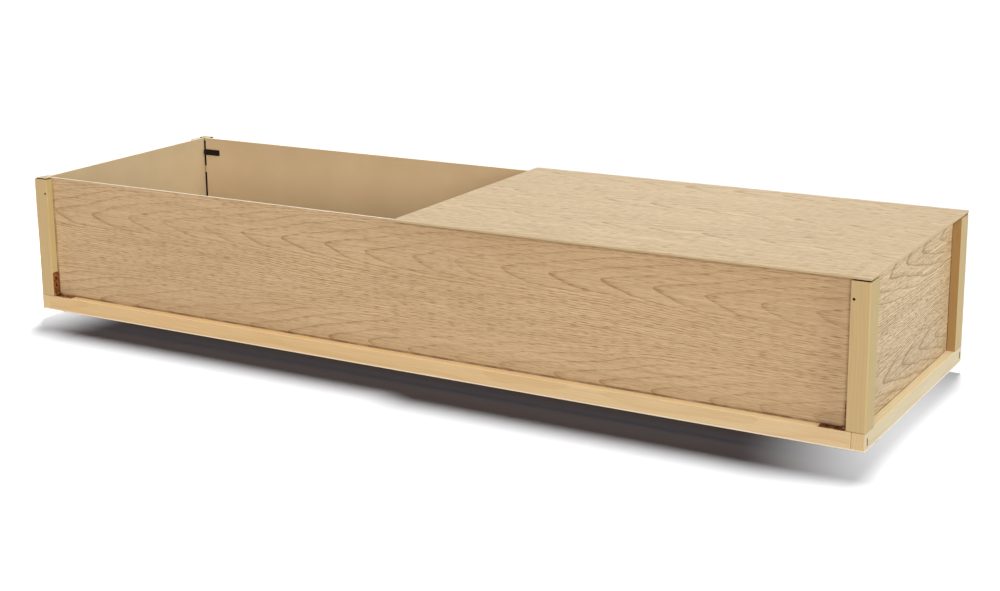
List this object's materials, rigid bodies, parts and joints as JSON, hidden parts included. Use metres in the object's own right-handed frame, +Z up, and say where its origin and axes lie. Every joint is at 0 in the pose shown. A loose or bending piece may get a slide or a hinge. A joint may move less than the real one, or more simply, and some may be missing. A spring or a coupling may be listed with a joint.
{
  "type": "under bed box",
  "caption": "Long shallow wooden storage box on low rollers, with corner posts, thin board panels and a loose half lid over one end.",
  "frame": {"origin": "on the floor, under the centre of the box", "axes": "+X along the length towards the lidded end, the front faces -Y, +Z up"},
  "size_m": [1.473, 0.457, 0.254],
  "materials": {
    "pine_rail": "bare planed pine, satin",
    "post_wood": "smooth clear-lacquered wood, satin",
    "oak_board": "light oak grain print with a fine embossed pore, satin",
    "lid_board": "pale oak grain print, satin",
    "plain_board": "bare hardboard, matt",
    "black_tape": "black hook-and-loop tape, matt",
    "black_plastic": "moulded black plastic, satin",
    "brassed_steel": "thin brass plate, satin",
    "zinc_steel": "bright zinc plate",
    "black_rivet": "blackened steel, satin",
    "wheel_plastic": "moulded dark plastic, satin"
  },
  "bodies": {
    "base": {"rail_front": "pine_rail", "panel_front": "oak_board", "rail_back": "pine_rail", "panel_back": "oak_board", "rail_left": "pine_rail", "panel_left": "oak_board", "rail_right": "pine_rail", "panel_right": "oak_board", "bottom_board": "plain_board", "slat_left": "pine_rail", "slat_right": "pine_rail", "post_front_left": "post_wood", "post_front_right": "post_wood", "post_back_left": "post_wood", "post_back_right": "post_wood", "pad_front_left": "black_tape", "pad_front_right": "black_tape", "pad_back_left": "black_tape", "pad_back_right": "black_tape", "tape_upper_front_left": "black_tape", "tape_upper_front_right": "black_tape", "tape_upper_back_left": "black_tape", "tape_upper_back_right": "black_tape", "tape_lower_front_left": "black_tape", "tape_lower_front_right": "black_tape", "tape_lower_back_left": "black_tape", "tape_lower_back_right": "black_tape", "rivet_front_left": "black_rivet", "rivet_front_right": "black_rivet", "rivet_back_left": "black_rivet", "rivet_back_right": "black_rivet", "hinge_post_leaf_front_left": "brassed_steel", "hinge_post_leaf_front_right": "brassed_steel", "hinge_post_leaf_back_left": "brassed_steel", "hinge_post_leaf_back_right": "brassed_steel", "hinge_rail_leaf_front_left": "brassed_steel", "hinge_rail_leaf_front_right": "brassed_steel", "hinge_rail_leaf_back_left": "brassed_steel", "hinge_rail_leaf_back_right": "brassed_steel", "hinge_pin_front_left": "brassed_steel", "hinge_pin_front_right": "brassed_steel", "hinge_pin_back_left": "brassed_steel", "hinge_pin_back_right": "brassed_steel", "roller_bracket_front_left": "zinc_steel", "roller_bracket_front_right": "zinc_steel", "roller_bracket_back_left": "zinc_steel", "roller_bracket_back_right": "zinc_steel", "roller_axle_front_left": "zinc_steel", "roller_axle_front_right": "zinc_steel", "roller_axle_back_left": "zinc_steel", "roller_axle_back_right": "zinc_steel"},
    "lid": {"lid_half": "lid_board"},
    "button_front_left": {"turn_button_front_left": "black_plastic"},
    "wheel_front_left": {"roller_wheel_front_left": "wheel_plastic"},
    "button_front_right": {"turn_button_front_right": "black_plastic"},
    "wheel_front_right": {"roller_wheel_front_right": "wheel_plastic"},
    "button_back_left": {"turn_button_back_left": "black_plastic"},
    "wheel_back_left": {"roller_wheel_back_left": "wheel_plastic"},
    "button_back_right": {"turn_button_back_right": "black_plastic"},
    "wheel_back_right": {"roller_wheel_back_right": "wheel_plastic"}
  },
  "joints": [
    {"name": "lid_lift", "type": "slide", "parent": "base", "child": "lid", "axis": [0, 0, 1], "range_m": [0, 0.3]},
    {"name": "button_turn_front_left", "type": "hinge", "parent": "base", "child": "button_front_left", "pos_m": [-0.714, -0.2107, 0.2235], "axis": [0, 1, 0], "range_deg": [0, 90]},
    {"name": "button_turn_front_right", "type": "hinge", "parent": "base", "child": "button_front_right", "pos_m": [0.714, -0.2107, 0.2235], "axis": [0, -1, 0], "range_deg": [0, 90]},
    {"name": "button_turn_back_left", "type": "hinge", "parent": "base", "child": "button_back_left", "pos_m": [-0.714, 0.2107, 0.2235], "axis": [0, 1, 0], "range_deg": [0, 90]},
    {"name": "button_turn_back_right", "type": "hinge", "parent": "base", "child": "button_back_right", "pos_m": [0.714, 0.2107, 0.2235], "axis": [0, -1, 0], "range_deg": [0, 90]},
    {"name": "wheel_roll_front_left", "type": "hinge", "parent": "base", "child": "wheel_front_left", "pos_m": [-0.6825, -0.1585, 0.011], "axis": [1, 0, 0], "continuous": true},
    {"name": "wheel_roll_front_right", "type": "hinge", "parent": "base", "child": "wheel_front_right", "pos_m": [0.6825, -0.1585, 0.011], "axis": [1, 0, 0], "continuous": true},
    {"name": "wheel_roll_back_left", "type": "hinge", "parent": "base", "child": "wheel_back_left", "pos_m": [-0.6825, 0.1585, 0.011], "axis": [1, 0, 0], "continuous": true},
    {"name": "wheel_roll_back_right", "type": "hinge", "parent": "base", "child": "wheel_back_right", "pos_m": [0.6825, 0.1585, 0.011], "axis": [1, 0, 0], "continuous": true}
  ]
}
